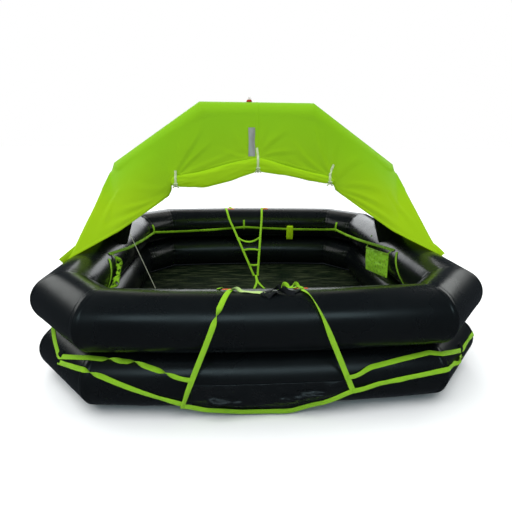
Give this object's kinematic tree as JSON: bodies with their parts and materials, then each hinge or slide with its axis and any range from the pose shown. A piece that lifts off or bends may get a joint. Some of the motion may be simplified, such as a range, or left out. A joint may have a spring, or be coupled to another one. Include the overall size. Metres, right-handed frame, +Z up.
{
  "type": "inflatable life raft for twelve people",
  "caption": "Octagonal inflatable life raft with two stacked tubes, inflated arch, open-ended fabric canopy, lifelines and boarding ladders.",
  "frame": {"origin": "on the ground, under the middle of the raft", "axes": "+Z up, +Y from the boarding side in the picture to the far side, +X to the right as seen from the boarding side"},
  "size_m": [2.8765, 2.903, 1.7991],
  "materials": {
    "tube_fabric": "black coated fabric, satin",
    "floor_fabric": "dark coated fabric, glossy where wet",
    "canopy_fabric": "bright yellow-green coated cloth, soft sheen",
    "webbing": "woven yellow-green webbing",
    "lamp_plastic": "red plastic",
    "lamp_glass": "clear plastic dome",
    "line": "thin pale braided line",
    "painted_steel": "steel bottle with grey paint",
    "brass": "turned brass",
    "grey_plastic": "moulded grey plastic"
  },
  "bodies": {
    "root": {"lower_tube_front": "tube_fabric", "lower_tube_front_right": "tube_fabric", "lower_tube_right": "tube_fabric", "lower_tube_rear_right": "tube_fabric", "lower_tube_rear": "tube_fabric", "lower_tube_rear_left": "tube_fabric", "lower_tube_left": "tube_fabric", "lower_tube_front_left": "tube_fabric", "upper_tube_front": "tube_fabric", "upper_tube_front_right": "tube_fabric", "upper_tube_right": "tube_fabric", "upper_tube_rear_right": "tube_fabric", "upper_tube_rear": "tube_fabric", "upper_tube_rear_left": "tube_fabric", "upper_tube_left": "tube_fabric", "upper_tube_front_left": "tube_fabric", "arch_leg_left": "tube_fabric", "arch_slope_left": "tube_fabric", "arch_top": "tube_fabric", "arch_slope_right": "tube_fabric", "arch_leg_right": "tube_fabric", "floor": "floor_fabric", "canopy_side_left": "canopy_fabric", "canopy_side_right": "canopy_fabric", "canopy_front_left": "canopy_fabric", "canopy_front_right": "canopy_fabric", "canopy_rear_left": "canopy_fabric", "canopy_rear_right": "canopy_fabric", "door_roll_front": "canopy_fabric", "door_roll_rear": "canopy_fabric", "lamp_base": "lamp_plastic", "lamp_dome": "lamp_glass", "boarding_straps_front": "webbing", "boarding_straps_rear": "webbing", "boarding_apron_front": "tube_fabric", "boarding_apron_rear": "tube_fabric", "boarding_ladder_front": "webbing", "boarding_ladder_rear": "webbing", "lifeline_left": "webbing", "lifeline_right": "webbing", "lifeline_lower_front_left": "webbing", "lifeline_lower_front_right": "webbing", "lifeline_lower_rear_left": "webbing", "lifeline_lower_rear_right": "webbing", "lifeline_inner_front": "webbing", "lifeline_inner_rear": "webbing", "pouch": "canopy_fabric", "tag_pouch": "canopy_fabric", "rescue_line": "webbing", "stay_line": "line", "gas_bottle": "painted_steel", "bottle_straps": "webbing", "bottle_valve": "brass", "ballast_pockets": "tube_fabric", "valve_left": "grey_plastic", "valve_right": "grey_plastic"}
  },
  "joints": []
}
